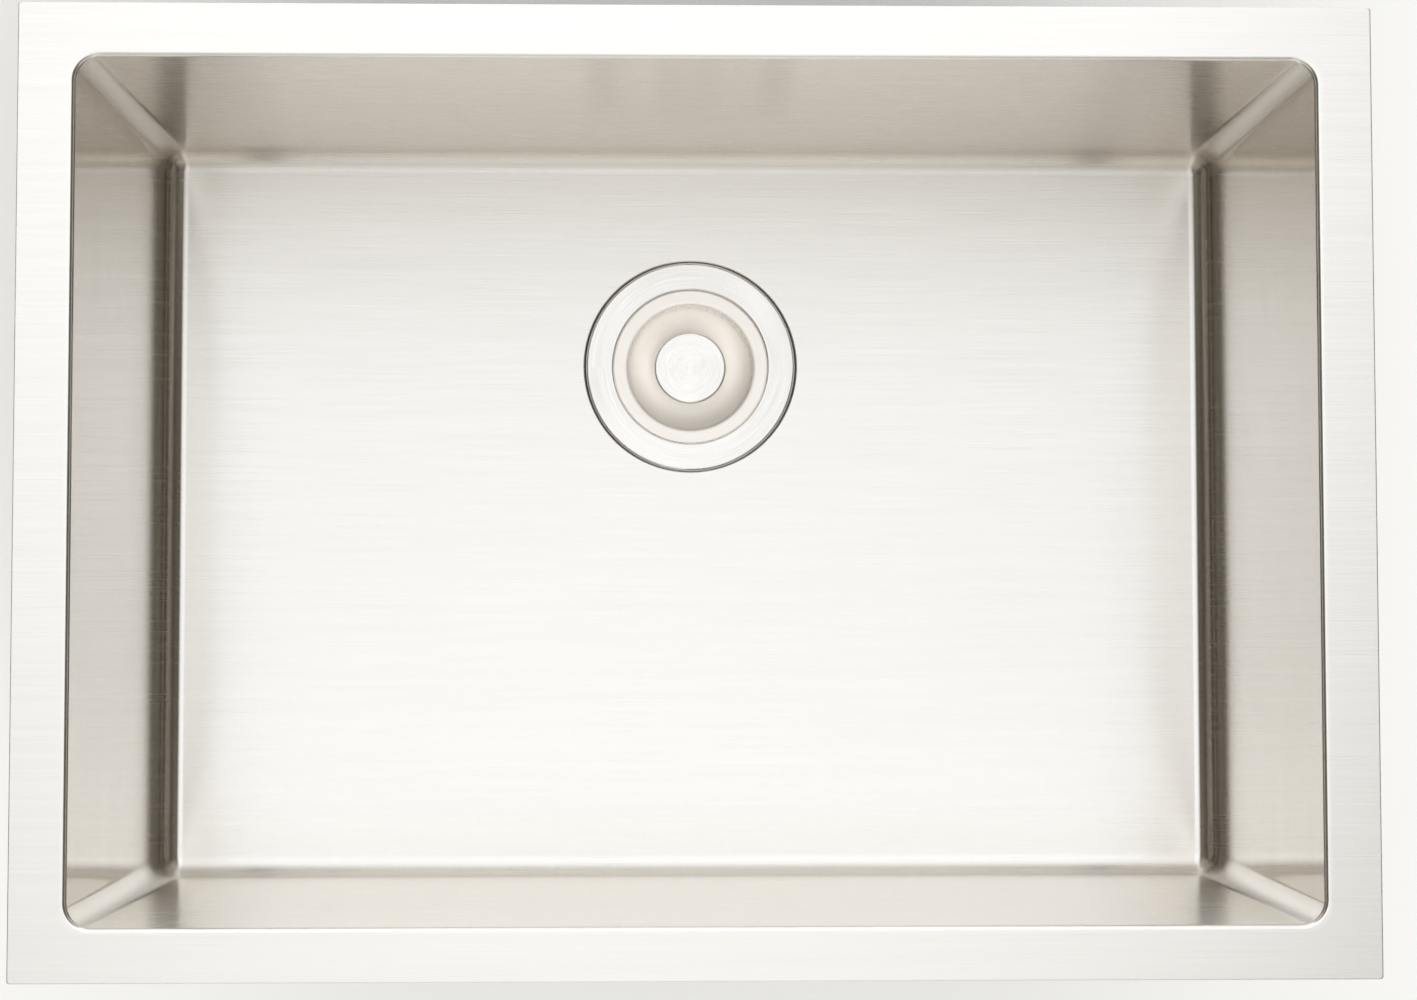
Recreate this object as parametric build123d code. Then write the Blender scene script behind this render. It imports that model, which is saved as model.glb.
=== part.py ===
from build123d import *
import os
from math import atan2, cos, degrees, radians, sin, tan

# Undermount kitchen sink with its basket strainer, in millimetres.
#
# The origin is the centre of the bowl's opening, in the plane of the flange's upper face, which is
# glued to the underside of the worktop. +X is to the right, +Y towards the wall behind the sink, +Z up.
# The waste fittings hang below the floor on one upright axis, the drain axis.

# ---- Bowl: one sheet, folded, welded at the corners and ground smooth ----
sheet = 1.2  # sheet thickness
opening_width = 584.2  # wall to wall, left to right
opening_length = 406.4  # wall to wall, front to rear
wall_depth = 226.6  # flange face down to the floor at the foot of the walls
wall_lean = 5.5  # how far each wall leans in between the flange and the floor
side_flange = 26.8  # wall face out to the edge of the flange, left and right
end_flange = 25.4  # the same at the front and rear
flange_corner = 1.5  # outer corners of the flange, in plan
flange_edge = 0.4  # rounding of the flange's upper outer edge
cove_radius = 11.0  # inside bend from wall into floor
floor_corner_radius = 0.5  # corner left on the flat floor inside the coves
rim_bend = 2.2  # bend from flange into wall, on the upper side
floor_fall = 2.0  # extra drop of the floor from the coves to the drain

# ---- Drain hole, pressed into the floor ----
drain_to_rear = 122.7  # drain axis to the rear wall face
drain_hole_radius = 45.0
recess_radius = 58.2  # pressed recess that takes the strainer's flange
recess_depth = 1.6  # below the lowest point of the floor's slopes

# ---- Sound-deadening pads, glued to the outer faces ----
pad_thickness = 3.0
pad_corner = 12.0
wall_pad_drop = 52.0  # flange face to the upper edge of a wall pad
wall_pad_height = 120.0
end_pad_length = 262.0  # on the left and right walls
long_pad_length = 430.0  # on the front and rear walls
floor_pad_margin = 34.0  # wall face in to the outer edges of the floor pads
floor_pad_gap = 14.0  # between floor pads, and between them and the drain recess

# ---- Strainer body ----
seal_thickness = 0.8  # foam ring under the strainer's flange
seal_width = 9.0
strainer_flange_radius = 57.15
strainer_flange_thickness = 1.3
strainer_edge_round = 0.8
mouth_radius = 42.6
cup_bore_radius = 40.8
cup_wall = 2.6  # to the crest of the outer thread
cup_floor_thickness = 2.6
cup_floor_rise = 4.0  # slope of the cup floor from the stopper's seat to the wall
cup_floor_round = 5.0
seat_ring_radius = 29.0  # flat ring that the stopper closes on
outlet_radius = 19.6
outlet_step = 0.9  # ledge in the outlet that carries the crossbar
spout_radius = 23.75  # to the crest of the spout's thread
spout_below_crossbar = 14.0
thread_pitch = 2.2
thread_depth = 1.1
thread_clearance = 0.1  # radial, between a thread's crest and the nut around it

# ---- Crossbar in the outlet ----
crossbar_height = 3.0
crossbar_rim = 1.6
crossbar_arm = 3.0
crossbar_hub_radius = 6.5
crossbar_hole_radius = 3.6
crossbar_gap = 1.8  # below the rod nut when the stopper is closed
crossbar_play = 0.05  # radial, in the outlet

# ---- Clamping stack under the sink floor ----
gasket_thickness = 3.2
gasket_width = 12.0
friction_ring_thickness = 1.0
friction_ring_width = 10.0
ring_play = 0.5  # radial, between the rings and the thread
locknut_height = 11.0
locknut_hub = 5.0  # wall of the nut's hub
locknut_flange = 3.0  # height of the bearing flange
locknut_flange_width = 10.5
locknut_lug_width = 8.0
locknut_lugs = 8
locknut_lug_root = 2.5  # how far a lug runs into the hub

# ---- Basket ----
basket_sheet = 0.8
basket_rim_drop = 1.2  # rim's upper face below the strainer's flange
basket_lip = 1.8  # height of the rim's turned-down edge, which stands in the mouth
basket_play = 0.5  # radial, between the rim and the mouth
basket_mouth_radius = 35.0
basket_foot_radius = 33.0
basket_depth = 24.0
basket_mouth_round = 1.6
basket_foot_round = 10.0
wall_hole_radius = 1.4
wall_holes = 24
wall_hole_rows = 3
wall_hole_pitch = 4.1  # along the sloping wall
wall_hole_start = 3.8  # rim to the upper row, along the sloping wall
floor_hole_radius = 1.5
floor_holes = 12
floor_hole_circle = 15.5  # radius of the ring of holes in the basket's floor

# ---- Rod bushing and its friction ring, in the basket's floor ----
bushing_hole_radius = 5.6
bushing_play = 0.02
bushing_flange_radius = 9.0
bushing_rise = 4.6  # above the basket's floor
bushing_flange_height = 1.4
bushing_lip_height = 1.3
bushing_lip = 0.6
oring_section = 1.6  # diameter of the rubber ring's section
oring_play = 0.02

# ---- Plunger: knob, rod, stopper and what holds it ----
stroke = 8.0  # stopper travel between open and closed
rod_radius = 3.5
rod_play = 0.05  # radial, in the bushing
rod_end_radius = 2.5  # threaded end that carries the stopper
rod_tip = 5.6  # below the rod nut
rod_chamfer = 1.2
knob_radius = 19.8
knob_drop = 6.0  # strainer's flange down to the knob's top
knob_thickness = 3.4
knob_crown = 0.5
knob_round = 1.1
knob_boss_radius = 6.5
knob_socket = 2.2  # depth of the rod's seat inside the disc
plunger_play = 0.8  # smallest gap along the rod at the ends of the stroke
plate_thickness = 1.0
plate_radius = 18.0
stopper_thickness = 5.0
stopper_radius = 26.0
stopper_edge = 1.2
washer_thickness = 1.0
washer_radius = 7.5
rod_nut_height = 4.0
rod_nut_flats = 8.0
rod_nut_chamfer = 0.5
bore_play = 0.05  # radial, between the rod end and what is threaded over it

# ---- Tailpiece and coupling nut ----
tail_washer_thickness = 1.6
tail_washer_play = 0.4  # radial, inside the coupling nut
tail_sleeve_wall = 1.2
tail_sleeve_length = 8.0
tail_sleeve_play = 0.05  # radial, inside the tailpiece
tailpiece_radius = 19.05
tailpiece_wall = 0.9
tailpiece_length = 101.6
tailpiece_flange_thickness = 1.4
tailpiece_flange_width = 3.6
tailpiece_neck_relief = 0.2  # radial, drawn smaller where the coupling nut sits
tailpiece_neck_drop = 3.0  # end of the smaller neck below the coupling nut
coupling_flats = 57.0
coupling_chamfer = 1.6
coupling_lip = 2.6
coupling_lip_play = 0.35  # radial, around the tailpiece
coupling_reach = 15.0  # up over the spout's thread

# ---- Places worked out from the sizes above ----
corner_radius = cove_radius + floor_corner_radius  # upright corners, inside
drain_y = opening_length / 2 - drain_to_rear
recess_z = -(wall_depth + floor_fall + recess_depth)  # upper face of the recess
underside_z = recess_z - sheet
flange_low = recess_z + seal_thickness
flange_top = flange_low + strainer_flange_thickness
cup_outer_radius = cup_bore_radius + cup_wall
basket_top = flange_top - basket_rim_drop
basket_floor = basket_top - basket_depth
basket_under = basket_floor - basket_sheet
plate_top = basket_under - bushing_lip_height - plunger_play
stopper_top = plate_top - plate_thickness
stopper_low = stopper_top - stopper_thickness
washer_low = stopper_low - washer_thickness
rod_nut_low = washer_low - rod_nut_height
rod_low = rod_nut_low - rod_tip
seat_z = stopper_low - stroke
crossbar_top = rod_nut_low - stroke - crossbar_gap
crossbar_low = crossbar_top - crossbar_height
spout_low = crossbar_low - spout_below_crossbar
cup_under = seat_z - cup_floor_thickness
gasket_low = underside_z - gasket_thickness
friction_low = gasket_low - friction_ring_thickness
locknut_low = friction_low - locknut_height
ring_bore = cup_outer_radius + ring_play
tail_washer_low = spout_low - tail_washer_thickness
tail_flange_low = tail_washer_low - tailpiece_flange_thickness
coupling_low = tail_flange_low - coupling_lip
coupling_bore = spout_radius + thread_clearance
tailpiece_bore = tailpiece_radius - tailpiece_wall
knob_top = flange_top - knob_drop
knob_under = knob_top - knob_thickness
bushing_top = basket_floor + bushing_rise
knob_boss_low = bushing_top + stroke + plunger_play
rod_top = knob_under + knob_socket
same_place = 0.01  # closer than this counts as the same place when an edge or corner is picked


def rounded_block(width, length, corner, low, high):
    """Block with rounded upright corners, centred on the opening, between two heights."""
    return Pos(0, 0, low) * extrude(RectangleRounded(width, length, corner), high - low)


def section(points):
    """Flat outline in radius and height. A third number on a point rounds that corner."""
    face = make_face(Polyline(*[(point[0], point[1]) for point in points], close=True))
    for point in points:
        if len(point) == 3:
            place = Vector(point[0], point[1])
            corner = [v for v in face.vertices() if (Vector(v) - place).length < same_place]
            face = fillet(corner, point[2])
    return Plane.XZ * face


def turned(points):
    """Solid of revolution about the drain axis, from an outline of radius and height."""
    return Pos(0, drain_y, 0) * revolve(section(points), Axis.Z)


def ring(inner, outer, low, high):
    """Plain washer on the drain axis."""
    return turned([(inner, low), (outer, low), (outer, high), (inner, high)])


def thread(crest, low, high):
    """Outline of parallel thread ridges, going up from low to high."""
    root = crest - thread_depth
    count = int((high - low) / thread_pitch)
    points = []
    for turn in range(count):
        start = low + turn * thread_pitch
        points += [(crest, start), (crest, start + 0.25 * thread_pitch)]
        points += [(root, start + 0.5 * thread_pitch), (root, start + 0.75 * thread_pitch)]
    return points


def hexagon_nut(flats, bore, low, high, chamfered):
    """Hexagon with a plain bore and turned-off corners, on the drain axis."""
    corners = flats / 2 / cos(radians(30))
    blank = Pos(0, drain_y, low) * extrude(RegularPolygon(flats / 2, 6, major_radius=False), high - low)
    trim = turned(
        [
            (0, low),
            (corners - chamfered, low),
            (corners, low + chamfered / 2),
            (corners, high - chamfered / 2),
            (corners - chamfered, high),
            (0, high),
        ]
    )
    return (blank & trim) - ring(0, bore, low, high)


# ---- Bowl and pads ----


def rim_outline(reach, height, corner):
    """The opening's outline in plan, moved outwards by reach and down to a height."""
    width = opening_width + 2 * reach
    length = opening_length + 2 * reach
    return Pos(0, 0, height) * RectangleRounded(width, length, corner)


def bowl_form(grow):
    """The space inside the bowl, filled and grown outwards: 0 is the wet face, sheet the outer face."""
    floor_z = -(wall_depth + grow)
    lean = wall_lean * floor_z / -wall_depth
    corner = corner_radius + grow
    block = loft([rim_outline(grow, 0, corner), rim_outline(grow - lean, floor_z, corner)])
    block = fillet(block.edges().group_by(Axis.Z)[0], cove_radius + grow)
    flat = rim_outline(-wall_lean - cove_radius, floor_z, floor_corner_radius)
    lowest = floor_z - floor_fall
    slopes = loft([flat, Vertex(0, drain_y, lowest)], ruled=True)
    recess = Pos(0, drain_y, lowest - recess_depth) * extrude(
        Circle(recess_radius + grow), floor_fall + recess_depth
    )
    return block + slopes + recess


def sink_bowl():
    """Flange, walls and floor as one welded shell, with the bends at the rim and the drain hole."""
    flange = rounded_block(
        opening_width + 2 * side_flange,
        opening_length + 2 * end_flange,
        flange_corner,
        -sheet,
        0,
    )
    flange = fillet(flange.edges().group_by(Axis.Z)[-1], flange_edge)
    shell = (flange + bowl_form(sheet)) - bowl_form(0)
    shell -= Pos(0, drain_y, underside_z) * extrude(Circle(drain_hole_radius), sheet + recess_depth)

    def loop(height, reach):
        """The edges at one height that run round the opening, no further out than reach."""
        level = shell.edges().filter_by_position(Axis.Z, height - same_place, height + same_place)
        inside = opening_width / 2 + reach + same_place
        return level.filter_by_position(Axis.X, -inside, inside).filter_by(
            lambda edge: abs(edge.center().Y) < opening_length / 2 + reach + same_place
        )

    shell = fillet(loop(-sheet, sheet), rim_bend - sheet)
    return fillet(loop(0, 0), rim_bend)


def wall_pad(length, plane):
    """Pad on the outside of a wall, its upper edge at the pads' drop below the flange."""
    outline = Pos(0, -(wall_pad_drop + wall_pad_height / 2)) * RectangleRounded(
        length, wall_pad_height, pad_corner
    )
    return extrude(plane * outline, pad_thickness)


def floor_pad(left, right, front, rear):
    """Pad under the floor, following its slopes, between four edges in plan."""
    outline = Pos((left + right) / 2, (front + rear) / 2) * RectangleRounded(
        right - left, rear - front, pad_corner
    )
    deep = pad_thickness + floor_fall
    prism = Pos(0, 0, -(wall_depth + sheet + deep)) * extrude(outline, deep)
    face = bowl_form(sheet)
    return (prism & (Pos(0, 0, -pad_thickness) * face)) - face


def pads():
    """The seven pads by name."""
    end_x = opening_width / 2 + sheet
    long_y = opening_length / 2 + sheet
    tilt = -wall_lean / wall_depth  # the outer faces of the leaning walls look slightly down
    edge_x = opening_width / 2 - floor_pad_margin
    edge_y = opening_length / 2 - floor_pad_margin
    clear = recess_radius + sheet + floor_pad_gap
    return {
        "pad_left": wall_pad(end_pad_length, Plane((-end_x, 0, 0), (0, -1, 0), (-1, 0, tilt))),
        "pad_right": wall_pad(end_pad_length, Plane((end_x, 0, 0), (0, 1, 0), (1, 0, tilt))),
        "pad_front": wall_pad(long_pad_length, Plane((0, -long_y, 0), (1, 0, 0), (0, -1, tilt))),
        "pad_rear": wall_pad(long_pad_length, Plane((0, long_y, 0), (-1, 0, 0), (0, 1, tilt))),
        "pad_floor_left": floor_pad(-edge_x, -clear, -edge_y, edge_y),
        "pad_floor_right": floor_pad(clear, edge_x, -edge_y, edge_y),
        "pad_floor_front": floor_pad(
            floor_pad_gap - clear, clear - floor_pad_gap, -edge_y, drain_y - clear
        ),
    }


# ---- Strainer body and what clamps it to the floor ----


def strainer_body():
    """Flanged cup with the basket's ledge, the stopper's seat and the threaded spout."""
    ledge_z = basket_top - basket_lip
    wall_foot = seat_z + cup_floor_rise
    spout_thread_top = cup_under - thread_depth
    neck = spout_radius - thread_depth
    outline = [
        (strainer_flange_radius, flange_low),
        (strainer_flange_radius, flange_top, strainer_edge_round),
        (mouth_radius, flange_top, strainer_edge_round),
        (mouth_radius, ledge_z),
        (cup_bore_radius, ledge_z),
        (cup_bore_radius, wall_foot, cup_floor_round),
        (seat_ring_radius, seat_z),
        (outlet_radius, seat_z),
        (outlet_radius, crossbar_low),
        (outlet_radius - outlet_step, crossbar_low),
        (outlet_radius - outlet_step, spout_low),
        *thread(spout_radius, spout_low, spout_thread_top),
        (neck, spout_thread_top),
        (neck, cup_under),
        (seat_ring_radius, cup_under),
        (cup_outer_radius - thread_depth, wall_foot - cup_floor_thickness, cup_floor_round),
        *thread(cup_outer_radius, wall_foot + cup_floor_round, underside_z),
        (cup_outer_radius - thread_depth, underside_z),
        (cup_outer_radius, underside_z + thread_depth),
        (cup_outer_radius, flange_low),
    ]
    return turned(outline)


def outlet_crossbar():
    """Rim, four arms and a holed hub, dropped on the ledge inside the outlet."""
    rim_radius = outlet_radius - crossbar_play
    rim = ring(rim_radius - crossbar_rim, rim_radius, crossbar_low, crossbar_top)
    hub = ring(0, crossbar_hub_radius, crossbar_low, crossbar_top)
    reach = 2 * rim_radius - crossbar_rim
    arm = extrude(Rectangle(reach, crossbar_arm) + Rectangle(crossbar_arm, reach), crossbar_height)
    hole = ring(0, crossbar_hole_radius, crossbar_low, crossbar_top)
    return rim + hub + Pos(0, drain_y, crossbar_low) * arm - hole


def locknut():
    """Ring nut with a bearing flange above and lugs for a wrench around its hub."""
    bore = cup_outer_radius + thread_clearance
    hub_radius = bore + locknut_hub
    flange_radius = bore + locknut_flange_width
    flange_z = friction_low - locknut_flange
    body = ring(bore, hub_radius, locknut_low, friction_low)
    body += ring(bore, flange_radius, flange_z, friction_low)
    lug_length = flange_radius - hub_radius + locknut_lug_root
    lug = Pos(flange_radius - lug_length / 2, 0, 0) * Rectangle(lug_length, locknut_lug_width)
    lug_blank = extrude(lug, flange_z - locknut_low)
    for index in range(locknut_lugs):
        turn = Rot(0, 0, index * 360 / locknut_lugs)
        body += Pos(0, drain_y, locknut_low) * turn * lug_blank
    return body & ring(bore, flange_radius, locknut_low, friction_low)


# ---- Basket ----


def basket_cup():
    """Pressed cup with a flat rim, rows of holes round the wall and one ring of holes in the floor."""
    rim_radius = mouth_radius - basket_play
    slope = atan2(basket_mouth_radius - basket_foot_radius, basket_depth)
    spread = basket_sheet * (1 / cos(slope) - tan(slope))
    rim_under = basket_top - basket_sheet
    outline = [
        (rim_radius, basket_top, basket_sheet / 2),
        (basket_mouth_radius, basket_top, basket_mouth_round),
        (basket_foot_radius, basket_floor, basket_foot_round),
        (bushing_hole_radius, basket_floor),
        (bushing_hole_radius, basket_under),
        (basket_foot_radius + spread, basket_under, basket_foot_round + basket_sheet),
        (basket_mouth_radius + spread, rim_under, basket_mouth_round - basket_sheet),
        (rim_radius - basket_sheet, rim_under),
        (rim_radius - basket_sheet, basket_top - basket_lip),
        (rim_radius, basket_top - basket_lip),
    ]
    cup = turned(outline)
    drills = []
    for row in range(wall_hole_rows):
        along = wall_hole_start + row * wall_hole_pitch
        place = Pos(basket_mouth_radius - along * sin(slope), 0, basket_top - along * cos(slope))
        drill = place * Rot(0, 90 + degrees(slope), 0) * Cylinder(wall_hole_radius, 5 * basket_sheet)
        for index in range(wall_holes):
            turn = (index + 0.5 * (row % 2)) * 360 / wall_holes
            drills.append(Pos(0, drain_y, 0) * Rot(0, 0, turn) * drill)
    for index in range(floor_holes):
        place = Pos(floor_hole_circle, 0, basket_floor)
        drill = place * Cylinder(floor_hole_radius, 5 * basket_sheet)
        drills.append(Pos(0, drain_y, 0) * Rot(0, 0, index * 360 / floor_holes) * drill)
    return cup - drills


def rod_bushing():
    """Guide for the rod, snapped into the basket's floor, with a groove for the friction ring."""
    bore = rod_radius + rod_play
    barrel = bushing_hole_radius - bushing_play
    groove_radius = rod_radius + oring_play + oring_section
    groove_top = bushing_top - (bushing_rise - bushing_flange_height) / 2
    groove_low = groove_top - oring_section
    outline = [
        (bore, bushing_top),
        (barrel + bushing_lip, bushing_top, bushing_lip),
        (barrel + bushing_lip, basket_floor + bushing_flange_height),
        (bushing_flange_radius, basket_floor + bushing_flange_height, bushing_lip),
        (bushing_flange_radius, basket_floor),
        (barrel, basket_floor),
        (barrel, basket_under),
        (barrel + bushing_lip, basket_under),
        (barrel, basket_under - bushing_lip_height),
        (bore, basket_under - bushing_lip_height),
        (bore, groove_low),
        (groove_radius, groove_low),
        (groove_radius, groove_top),
        (bore, groove_top),
    ]
    return turned(outline)


def rod_oring():
    """Rubber ring in the bushing's groove, which holds the plunger where it is put."""
    centre = rod_radius + oring_play + oring_section / 2
    middle = bushing_top - (bushing_rise - bushing_flange_height) / 2 - oring_section / 2
    return Pos(0, drain_y, middle) * Torus(centre, oring_section / 2)


# ---- Plunger ----


def knob():
    """Domed disc with a boss that screws on the rod."""
    blank = turned(
        [
            (0, knob_top),
            (knob_radius, knob_top - knob_crown, knob_round),
            (knob_radius, knob_under, knob_round),
            (knob_boss_radius, knob_under),
            (knob_boss_radius, knob_boss_low),
            (0, knob_boss_low),
        ]
    )
    return blank - ring(0, rod_radius, knob_boss_low, rod_top)


def plunger_rod():
    """Rod from inside the knob down through the bushing, stepped down to a threaded end."""
    return turned(
        [
            (0, rod_top),
            (rod_radius, rod_top),
            (rod_radius, plate_top),
            (rod_end_radius, plate_top),
            (rod_end_radius, rod_low + rod_chamfer),
            (rod_end_radius - rod_chamfer, rod_low),
            (0, rod_low),
        ]
    )


def stopper():
    """Rubber disc that closes on the seat ring."""
    bore = rod_end_radius + bore_play
    return turned(
        [
            (bore, stopper_low),
            (stopper_radius - stopper_edge, stopper_low),
            (stopper_radius, stopper_low + stopper_edge),
            (stopper_radius, stopper_top - stopper_edge),
            (stopper_radius - stopper_edge, stopper_top),
            (bore, stopper_top),
        ]
    )


# ---- Tailpiece and coupling nut ----


def tailpiece():
    """Thin tube with a flange turned out at its upper end and a slightly smaller neck under it."""
    neck = tailpiece_radius - tailpiece_neck_relief
    neck_low = coupling_low - tailpiece_neck_drop
    return turned(
        [
            (tailpiece_bore, tail_washer_low, tailpiece_wall / 2),
            (tailpiece_radius + tailpiece_flange_width, tail_washer_low),
            (tailpiece_radius + tailpiece_flange_width, tail_flange_low),
            (neck, tail_flange_low),
            (neck, neck_low),
            (tailpiece_radius, neck_low - tailpiece_neck_relief),
            (tailpiece_radius, tail_washer_low - tailpiece_length),
            (tailpiece_bore, tail_washer_low - tailpiece_length),
        ]
    )


def tailpiece_washer():
    """Plastic sealing washer with a sleeve that centres it in the tailpiece."""
    sleeve_outer = tailpiece_bore - tail_sleeve_play
    sleeve_bore = sleeve_outer - tail_sleeve_wall
    brim = coupling_bore - tail_washer_play
    return turned(
        [
            (sleeve_bore, spout_low),
            (brim, spout_low),
            (brim, tail_washer_low),
            (sleeve_outer, tail_washer_low),
            (sleeve_outer, tail_washer_low - tail_sleeve_length),
            (sleeve_bore, tail_washer_low - tail_sleeve_length),
        ]
    )


def coupling_nut():
    """Hexagon nut with a lip that draws the tailpiece's flange up to the spout."""
    top = spout_low + coupling_reach
    blank = hexagon_nut(
        coupling_flats, tailpiece_radius + coupling_lip_play, coupling_low, top, coupling_chamfer
    )
    return blank - ring(0, coupling_bore, tail_flange_low, top)


def export_all():
    """Builds every piece and writes one STEP file for each."""
    rod_bore = rod_end_radius + bore_play
    pieces = {
        "sink_bowl": sink_bowl(),
        **pads(),
        "strainer_body": strainer_body(),
        "flange_seal": ring(drain_hole_radius, drain_hole_radius + seal_width, recess_z, flange_low),
        "outlet_crossbar": outlet_crossbar(),
        "floor_gasket": ring(ring_bore, ring_bore + gasket_width, gasket_low, underside_z),
        "friction_ring": ring(ring_bore, ring_bore + friction_ring_width, friction_low, gasket_low),
        "locknut": locknut(),
        "basket_cup": basket_cup(),
        "rod_bushing": rod_bushing(),
        "rod_oring": rod_oring(),
        "knob": knob(),
        "plunger_rod": plunger_rod(),
        "stopper_plate": ring(rod_bore, plate_radius, stopper_top, plate_top),
        "stopper": stopper(),
        "stopper_washer": ring(rod_bore, washer_radius, washer_low, stopper_low),
        "rod_nut": hexagon_nut(rod_nut_flats, rod_bore, rod_nut_low, washer_low, rod_nut_chamfer),
        "tailpiece": tailpiece(),
        "tailpiece_washer": tailpiece_washer(),
        "coupling_nut": coupling_nut(),
    }
    os.makedirs("parts", exist_ok=True)
    for name, piece in pieces.items():
        export_step(piece, f"parts/{name}.step")


export_all()
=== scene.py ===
"""Undermount kitchen sink with basket strainer, sound pads and tailpiece, dressed for a studio picture.

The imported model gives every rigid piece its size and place. The bowl is modelled again here as one smooth
pressed shell, so that its bends and coves reflect cleanly, and every piece gets its finish.
"""

import math

import bpy
import numpy as np
from bpy.props import FloatProperty, FloatVectorProperty, PointerProperty
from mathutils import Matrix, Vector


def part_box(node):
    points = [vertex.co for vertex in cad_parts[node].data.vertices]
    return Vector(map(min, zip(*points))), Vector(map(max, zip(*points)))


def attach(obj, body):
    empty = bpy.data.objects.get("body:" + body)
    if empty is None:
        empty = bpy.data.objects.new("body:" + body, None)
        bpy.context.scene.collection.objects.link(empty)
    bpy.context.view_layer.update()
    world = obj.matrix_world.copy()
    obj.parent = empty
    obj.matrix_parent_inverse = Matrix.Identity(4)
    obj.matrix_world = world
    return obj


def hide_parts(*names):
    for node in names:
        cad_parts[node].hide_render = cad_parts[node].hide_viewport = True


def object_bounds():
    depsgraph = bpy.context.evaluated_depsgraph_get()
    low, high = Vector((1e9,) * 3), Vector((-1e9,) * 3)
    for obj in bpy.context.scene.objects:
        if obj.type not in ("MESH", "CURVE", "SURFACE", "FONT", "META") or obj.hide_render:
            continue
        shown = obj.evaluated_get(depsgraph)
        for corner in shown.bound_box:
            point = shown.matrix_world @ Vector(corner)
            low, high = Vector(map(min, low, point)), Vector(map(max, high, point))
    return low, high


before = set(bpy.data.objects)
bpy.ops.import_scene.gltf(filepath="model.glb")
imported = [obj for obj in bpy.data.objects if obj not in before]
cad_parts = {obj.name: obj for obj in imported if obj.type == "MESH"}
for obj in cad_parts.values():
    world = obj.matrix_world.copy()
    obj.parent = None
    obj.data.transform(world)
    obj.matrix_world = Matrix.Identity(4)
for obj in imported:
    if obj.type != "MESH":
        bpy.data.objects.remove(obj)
CAD_LOW, CAD_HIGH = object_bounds()

bl_info = {
    "name": "Undermount Kitchen Sink",
    "version": (1, 0, 0),
    "blender": (4, 5, 0),
    "location": "3D View > Sidebar > Sink",
    "description": "Builds a brushed undermount sink with its basket strainer and a studio stage",
    "category": "Add Mesh",
}

_, BOWL_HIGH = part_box("sink_bowl")
STRAINER_LOW, STRAINER_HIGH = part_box("strainer_body")
DRAIN_Y = (STRAINER_LOW.y + STRAINER_HIGH.y) / 2


# ---------------------------------------------------------------- settings


class BowlSettings(bpy.types.PropertyGroup):
    """Sizes of the pressed bowl, in metres."""

    sheet: FloatProperty(
        name="Sheet", description="Thickness of the steel", default=0.0012, unit="LENGTH"
    )
    opening_width: FloatProperty(
        name="Opening width",
        description="Wall to wall, left to right",
        default=0.5842,
        unit="LENGTH",
    )
    opening_length: FloatProperty(
        name="Opening length",
        description="Wall to wall, front to rear",
        default=0.4064,
        unit="LENGTH",
    )
    wall_depth: FloatProperty(
        name="Wall depth",
        description="Flange down to the floor at the walls",
        default=0.2266,
        unit="LENGTH",
    )
    wall_lean: FloatProperty(
        name="Wall lean",
        description="How far each wall leans in over its depth",
        default=0.0055,
        unit="LENGTH",
    )
    cove: FloatProperty(
        name="Cove", description="Radius of the bend from wall to floor", default=0.011, unit="LENGTH"
    )
    floor_corner: FloatProperty(
        name="Floor corner",
        description="Radius of the flat floor's corners",
        default=0.0005,
        unit="LENGTH",
    )
    rim_bend: FloatProperty(
        name="Rim bend", description="Radius of the bend from flange to wall", default=0.0022, unit="LENGTH"
    )
    flange_corner: FloatProperty(
        name="Flange corner",
        description="Radius of the flange's outer corners",
        default=0.0015,
        unit="LENGTH",
    )
    flange_edge: FloatProperty(
        name="Flange edge",
        description="Rounding of the flange's edge",
        default=0.0004,
        unit="LENGTH",
    )
    fall: FloatProperty(
        name="Fall", description="How far the floor falls to the drain", default=0.002, unit="LENGTH"
    )
    recess_radius: FloatProperty(
        name="Recess radius",
        description="Radius of the seat pressed for the strainer",
        default=0.0582,
        unit="LENGTH",
    )
    recess_depth: FloatProperty(
        name="Recess depth",
        description="How far the seat lies below the floor",
        default=0.0016,
        unit="LENGTH",
    )
    hole_radius: FloatProperty(
        name="Drain hole", description="Radius of the drain hole", default=0.045, unit="LENGTH"
    )
    shoulder: FloatProperty(
        name="Shoulder", description="Radius of the rounding into the seat", default=0.0008, unit="LENGTH"
    )
    waviness: FloatProperty(
        name="Waviness",
        description="Unevenness of the ground sheet",
        default=0.00003,
        unit="LENGTH",
    )


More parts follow.
